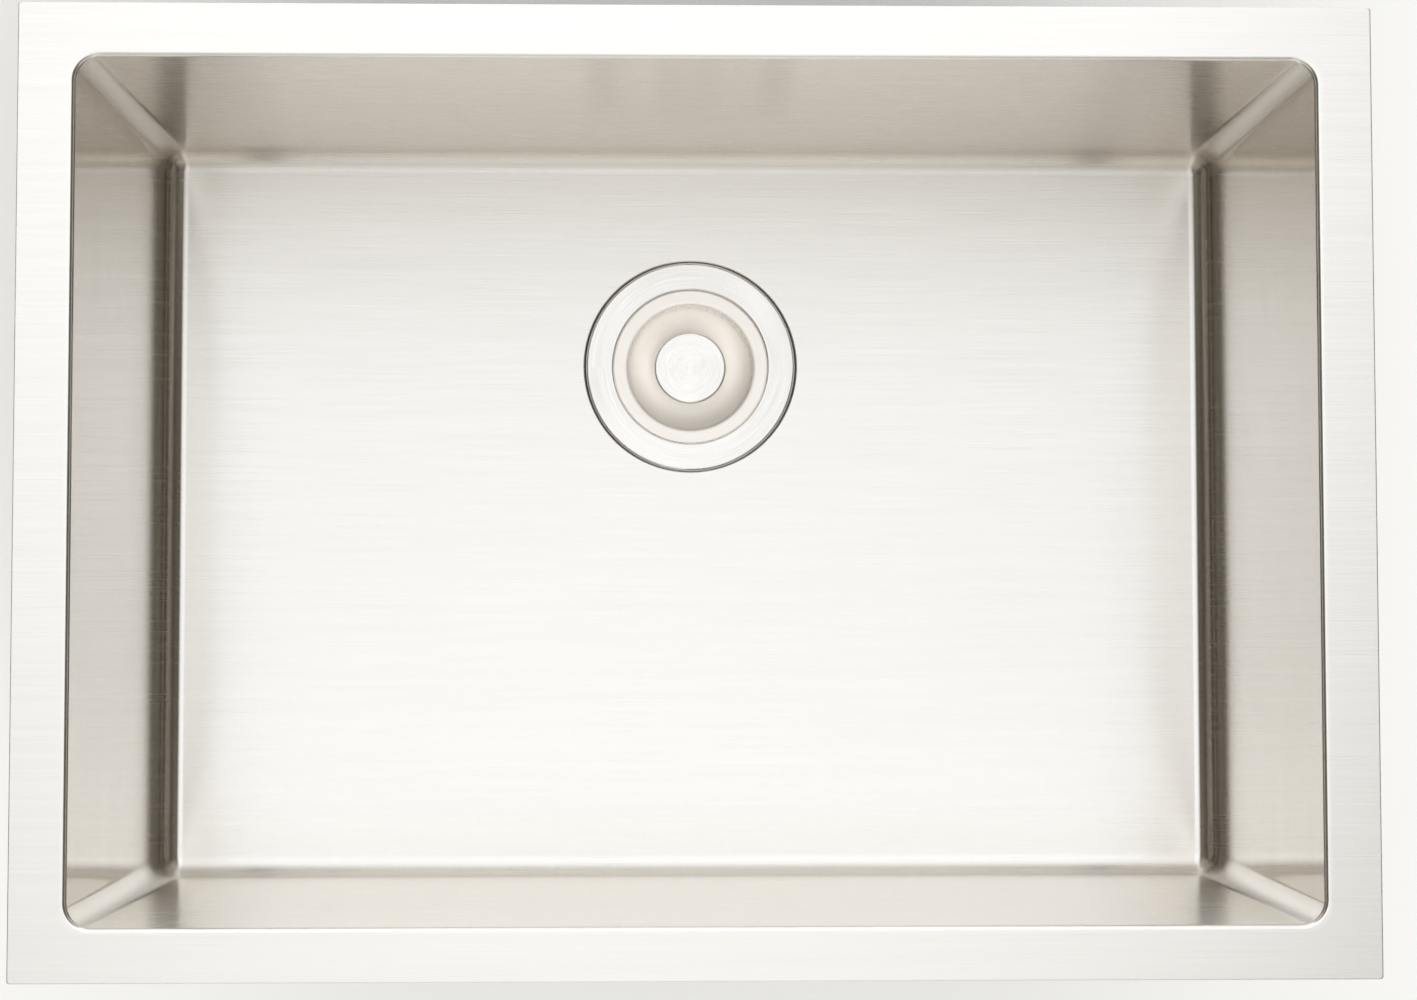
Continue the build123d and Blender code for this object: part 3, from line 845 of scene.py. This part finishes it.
def soften(piece, width):
    """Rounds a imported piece's sharp edges."""
    edge = piece.modifiers.new("soft edge", "BEVEL")
    edge.width = width
    edge.segments = PAD_EDGE_STEPS
    edge.limit_method = "ANGLE"
    edge.angle_limit = SHARP_EDGE
    edge.harden_normals = True


class SINK_OT_bowl(bpy.types.Operator):
    """Build the pressed bowl with its brushed inside and coated outside"""

    bl_idname = "sink.bowl"
    bl_label = "Bowl"

    def execute(self, context):
        sizes, finish, _ = settings(context)
        bowl, coated = build_bowl(sizes)
        bowl.data.materials.append(brushed_steel(finish))
        bowl.data.materials.append(undercoat(finish))
        bowl.data.polygons.foreach_set("material_index", coated.astype(np.int32))
        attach(bowl, "sink")
        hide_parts("sink_bowl")
        return {"FINISHED"}


class SINK_OT_pads(bpy.types.Operator):
    """Finish the sound-deadening pads"""

    bl_idname = "sink.pads"
    bl_label = "Sound pads"

    def execute(self, context):
        _, finish, _ = settings(context)
        rubber = grained("Pad rubber", finish.pad, rough=0.72, grain_size=0.0015, depth=0.0002)
        pads = [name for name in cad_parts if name.startswith("pad_")]
        finish_nodes(rubber, *pads)
        for name in pads:
            soften(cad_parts[name], PAD_EDGE)
        return {"FINISHED"}


class SINK_OT_strainer(bpy.types.Operator):
    """Finish the strainer body and what clamps it to the floor"""

    bl_idname = "sink.strainer"
    bl_label = "Strainer"

    def execute(self, context):
        _, finish, _ = settings(context)
        turned = turned_steel(
            "Turned strainer steel", finish, rough=0.30, line_width=0.0004, anisotropy=0.7
        )
        foam = grained("Foam", finish.rubber, rough=0.9, grain_size=0.0008, depth=0.0002)
        rubber = grained("Gasket rubber", finish.rubber, rough=0.6, grain_size=0.001, depth=0.0001)
        fibre = grained("Pressed fibre", finish.fibre, rough=0.8, grain_size=0.0006, depth=0.0001)
        zinc = grained(
            "Cast zinc", finish.zinc, rough=0.42, grain_size=0.0009, depth=0.00008, metallic=1.0
        )
        finish_nodes(turned, "strainer_body", "outlet_crossbar")
        finish_nodes(foam, "flange_seal")
        finish_nodes(rubber, "floor_gasket", "rod_oring")
        finish_nodes(fibre, "friction_ring")
        finish_nodes(zinc, "locknut")
        return {"FINISHED"}


class SINK_OT_basket(bpy.types.Operator):
    """Finish the basket, its bushing and the tailpiece washer"""

    bl_idname = "sink.basket"
    bl_label = "Basket"

    def execute(self, context):
        _, finish, _ = settings(context)
        # the basket is blasted to a satin, which scatters most of the light that falls on it
        pressed = turned_steel(
            "Pressed basket steel", finish, rough=0.45, line_width=0.0005, anisotropy=0.2, metallic=0.1
        )
        plastic = grained(
            "White plastic", finish.plastic, rough=0.45, grain_size=0.001, depth=0.00003, contrast=0.03
        )
        finish_nodes(pressed, "basket_cup", "stopper_plate")
        finish_nodes(plastic, "rod_bushing", "tailpiece_washer")
        return {"FINISHED"}


class SINK_OT_plunger(bpy.types.Operator):
    """Finish the knob, its rod and the stopper"""

    bl_idname = "sink.plunger"
    bl_label = "Plunger"

    def execute(self, context):
        _, finish, _ = settings(context)
        face = turned_steel("Turned knob face", finish, rough=0.26, line_width=0.00025, anisotropy=0.85)
        drawn = turned_steel("Bright drawn steel", finish, rough=0.2, line_width=0.0004, anisotropy=0.4)
        rubber = grained("Stopper rubber", finish.rubber, rough=0.5, grain_size=0.001, depth=0.00005)
        finish_nodes(face, "knob")
        finish_nodes(drawn, "plunger_rod", "stopper_washer", "rod_nut")
        finish_nodes(rubber, "stopper")
        return {"FINISHED"}


class SINK_OT_tailpiece(bpy.types.Operator):
    """Finish the tailpiece and its coupling nut"""

    bl_idname = "sink.tailpiece"
    bl_label = "Tailpiece"

    def execute(self, context):
        _, finish, _ = settings(context)
        chrome = grained(
            "Chrome plate",
            finish.chrome,
            rough=0.12,
            grain_size=0.004,
            depth=0.000002,
            metallic=1.0,
            contrast=0.03,
        )
        finish_nodes(chrome, "tailpiece", "coupling_nut")
        return {"FINISHED"}


# ---------------------------------------------------------------- stage


WARM_DARK = (1.0, 0.87, 0.66)  # tint of the sky where it is dark
COOL_BRIGHT = (0.96, 0.995, 1.03)  # tint where it is bright
BACKDROP = (0.93, 0.92, 0.90, 1)

# The overhead light is laid out over slopes: how far a direction leans for each step up.
LIGHT_OFFSET = 0.02  # the light's middle lies this far to the left
SHOULDER = (0.21, 0.5)  # it starts to dim to the left and right
SHOULDER_LEVEL = 0.72
SIDE_END = (0.34, 0.58)  # it ends there
FRONT_FADE = (-1.3, 0.15)  # it grows from front to middle
FRONT_LEVEL = 0.35
REAR_FADE = (0.8, 2.5)  # it dims a little far to the rear
REAR_LEVEL = 0.8
NARROW_FROM = -0.02  # ahead of this slope the light narrows
NARROW_MOST = 0.5
NARROW_SIDE = 0.45
NARROW_SHOULDER = 1.2
LEAN_SHARE = 0.8  # where a direction leans far along Y, this share of the lean stands in for the step up

# The rest is laid out over heights, from 0 at the horizon to 1 overhead.
LOWEST = 0.05  # slopes stop growing below this height
AROUND_FADE = (0.85, 0.6)
HORIZON_FADE = (0.32, 0.18)
PALE_FADE = (0.5, 0.3)  # the sky loses its warm tint on the way down
PALE_LEVEL = 0.55
MIRROR_FADE = (0.12, 0.0)  # metal shows the backdrop from here down
SECTOR = (0.35, 1.0)  # from left or right to front or rear, as the lean along Y over the lean along X
NARROWEST = 0.02  # the least lean along X that is divided by
SIDE_HORIZON = 0.4  # share of the horizon's light to the left and right

LAMP_ANGLE = math.radians(50)
LAMP_TURN = (math.radians(26), math.radians(7), 0)
FLOOR_REACH = 40.0  # half of the floor's length and width, in metres
FLOOR_ROUGHNESS = 0.9
SENSOR_WIDTH = 36.0  # in millimetres


def ramp(tree, value, fade_range, low, high):
    """Values that go smoothly from low to high over a range."""
    links = {"Value": value, "To Min": low, "To Max": high}
    links["From Min"], links["From Max"] = fade_range
    return add_node(tree, "ShaderNodeMapRange", links, interpolation_type="SMOOTHSTEP").outputs[0]


def product(tree, first, *others):
    """All the values multiplied together."""
    for other in others:
        first = math_node(tree, "MULTIPLY", first, other)
    return first


def overhead_patch(tree, across, along, height):
    """Where the overhead light is, from 0 to 1: a soft patch that leans to the rear."""
    up = math_node(tree, "MAXIMUM", height, LOWEST)
    slope = math_node(tree, "DIVIDE", along, up)
    far_along = math_node(tree, "ABSOLUTE", along)
    reach = math_node(tree, "MAXIMUM", up, math_node(tree, "MULTIPLY", far_along, LEAN_SHARE))
    aside = math_node(tree, "ADD", math_node(tree, "DIVIDE", across, reach), LIGHT_OFFSET)
    aside = math_node(tree, "ABSOLUTE", aside)
    ahead = math_node(tree, "MINIMUM", math_node(tree, "SUBTRACT", NARROW_FROM, slope), NARROW_MOST)
    ahead = math_node(tree, "MAXIMUM", ahead, 0.0)
    side_slope = math_node(tree, "MULTIPLY_ADD", ahead, NARROW_SIDE, aside)
    shoulder_slope = math_node(tree, "MULTIPLY_ADD", ahead, NARROW_SHOULDER, aside)
    side = ramp(tree, side_slope, SIDE_END, 1.0, 0.0)
    shoulder = ramp(tree, shoulder_slope, SHOULDER, 1.0, SHOULDER_LEVEL)
    front = ramp(tree, slope, FRONT_FADE, FRONT_LEVEL, 1.0)
    rear = ramp(tree, slope, REAR_FADE, 1.0, REAR_LEVEL)
    return product(tree, front, rear, side, shoulder)


def sky_light(tree, stage, across, along, height):
    """The sky as the sink sees it: bright overhead, dimmer in front and behind, dark to the sides."""
    patch = overhead_patch(tree, across, along, height)
    far_across = math_node(tree, "MAXIMUM", math_node(tree, "ABSOLUTE", across), NARROWEST)
    far_along = math_node(tree, "ABSOLUTE", along)
    sector = ramp(tree, math_node(tree, "DIVIDE", far_along, far_across), SECTOR, 0.0, 1.0)
    around = product(tree, sector, ramp(tree, height, AROUND_FADE, 0.0, stage.sky_around))
    dark = math_node(tree, "ADD", around, stage.sky_dark)
    brighter = math_node(tree, "SUBTRACT", stage.sky_bright, dark)
    overhead = math_node(tree, "MULTIPLY_ADD", patch, brighter, dark)
    share = math_node(tree, "MULTIPLY_ADD", sector, 1 - SIDE_HORIZON, SIDE_HORIZON)
    horizon = product(tree, ramp(tree, height, HORIZON_FADE, 0.0, stage.sky_horizon), share)
    strength = math_node(tree, "ADD", overhead, horizon)
    paleness = math_node(tree, "MAXIMUM", strength, ramp(tree, height, PALE_FADE, 0.0, PALE_LEVEL))
    colour = tint(tree, paleness, WARM_DARK, COOL_BRIGHT)
    return add_node(tree, "ShaderNodeBackground", {"Color": colour, "Strength": strength})


def build_world(stage):
    """Studio sky, with a pale backdrop for the camera and for what metal and glass show near the horizon."""
    world = bpy.data.worlds.new("Studio")
    bpy.context.scene.world = world
    world.use_nodes = True
    tree = world.node_tree
    tree.nodes.clear()
    direction = add_node(tree, "ShaderNodeTexCoord").outputs["Generated"]
    part = add_node(tree, "ShaderNodeSeparateXYZ", {0: direction})
    height = part.outputs["Z"]
    light = sky_light(tree, stage, part.outputs["X"], part.outputs["Y"], height)
    backdrop = add_node(tree, "ShaderNodeBackground", {"Color": BACKDROP, "Strength": 1.0})
    path = add_node(tree, "ShaderNodeLightPath")
    mirrored = math_node(tree, "MAXIMUM", path.outputs["Is Glossy Ray"], path.outputs["Is Transmission Ray"])
    mirrored = product(tree, mirrored, ramp(tree, height, MIRROR_FADE, 0.0, 1.0))
    shown = math_node(tree, "MAXIMUM", path.outputs["Is Camera Ray"], mirrored)
    mixed = add_node(tree, "ShaderNodeMixShader", {0: shown, 1: light.outputs[0], 2: backdrop.outputs[0]})
    add_node(tree, "ShaderNodeOutputWorld", {"Surface": mixed.outputs[0]})


def build_lamp(stage):
    """Soft lamp that lights the floor and everything that isn't polished."""
    lamp = bpy.data.lights.new("fill", "SUN")
    lamp.energy = stage.fill
    lamp.angle = LAMP_ANGLE
    holder = bpy.data.objects.new("fill", lamp)
    holder.rotation_euler = LAMP_TURN
    holder.visible_glossy = False
    bpy.context.scene.collection.objects.link(holder)


def build_floor(stage):
    """Pale floor that hides itself from below."""
    level = CAD_LOW.z - stage.floor_gap
    corners = [(-1, -1), (1, -1), (1, 1), (-1, 1)]
    places = [(x * FLOOR_REACH, y * FLOOR_REACH, level) for x, y in corners]
    floor = new_object("studio_floor", places, [(0, 1, 2, 3)])
    material, tree, shader = new_material("Pale floor")
    shader.inputs["Base Color"].default_value = (*stage.floor, 1)
    shader.inputs["Roughness"].default_value = FLOOR_ROUGHNESS
    back = add_node(tree, "ShaderNodeNewGeometry").outputs["Backfacing"]
    clear = add_node(tree, "ShaderNodeBsdfTransparent")
    mixed = add_node(tree, "ShaderNodeMixShader", {0: back, 1: shader.outputs[0], 2: clear.outputs[0]})
    tree.links.new(mixed.outputs[0], tree.nodes["Material Output"].inputs["Surface"])
    floor.data.materials.append(material)


def build_camera(scene, stage):
    """The camera, at the photograph's place and angle."""
    camera = bpy.data.cameras.new("Camera")
    camera.lens = stage.lens
    camera.sensor_width = SENSOR_WIDTH
    holder = bpy.data.objects.new("Camera", camera)
    holder.location = stage.place
    holder.rotation_euler = stage.tilt
    scene.collection.objects.link(holder)
    scene.camera = holder


class SINK_OT_stage(bpy.types.Operator):
    """Set up the floor, the light and the camera"""

    bl_idname = "sink.stage"
    bl_label = "Stage"

    def execute(self, context):
        _, _, stage = settings(context)
        build_world(stage)
        build_lamp(stage)
        build_floor(stage)
        build_camera(context.scene, stage)
        context.scene.view_settings.view_transform = "Standard"
        return {"FINISHED"}


# ---------------------------------------------------------------- panel and start


OPERATORS = (
    SINK_OT_bowl,
    SINK_OT_pads,
    SINK_OT_strainer,
    SINK_OT_basket,
    SINK_OT_plunger,
    SINK_OT_tailpiece,
    SINK_OT_stage,
)


class SINK_PT_panel(bpy.types.Panel):
    """Lists the settings and the pieces of the sink"""

    bl_label = "Sink"
    bl_idname = "SINK_PT_panel"
    bl_space_type = "VIEW_3D"
    bl_region_type = "UI"
    bl_category = "Sink"

    def draw(self, context):
        for group in settings(context):
            box = self.layout.box()
            for key in group.__annotations__:
                box.prop(group, key)
        for operator in OPERATORS:
            self.layout.operator(operator.bl_idname)


CLASSES = (BowlSettings, FinishSettings, StageSettings, *OPERATORS, SINK_PT_panel)


def register():
    """Makes the settings, the operators and the panel known to Blender."""
    for entry in CLASSES:
        bpy.utils.register_class(entry)
    bpy.types.Scene.sink_bowl = PointerProperty(type=BowlSettings)
    bpy.types.Scene.sink_finish = PointerProperty(type=FinishSettings)
    bpy.types.Scene.sink_stage = PointerProperty(type=StageSettings)


def unregister():
    """Takes back what register does."""
    del bpy.types.Scene.sink_stage
    del bpy.types.Scene.sink_finish
    del bpy.types.Scene.sink_bowl
    for entry in reversed(CLASSES):
        bpy.utils.unregister_class(entry)


def main():
    """Builds the whole sink and its stage."""
    register()
    bpy.ops.sink.bowl()
    bpy.ops.sink.pads()
    bpy.ops.sink.strainer()
    bpy.ops.sink.basket()
    bpy.ops.sink.plunger()
    bpy.ops.sink.tailpiece()
    bpy.ops.sink.stage()


if __name__ == "__main__":
    main()
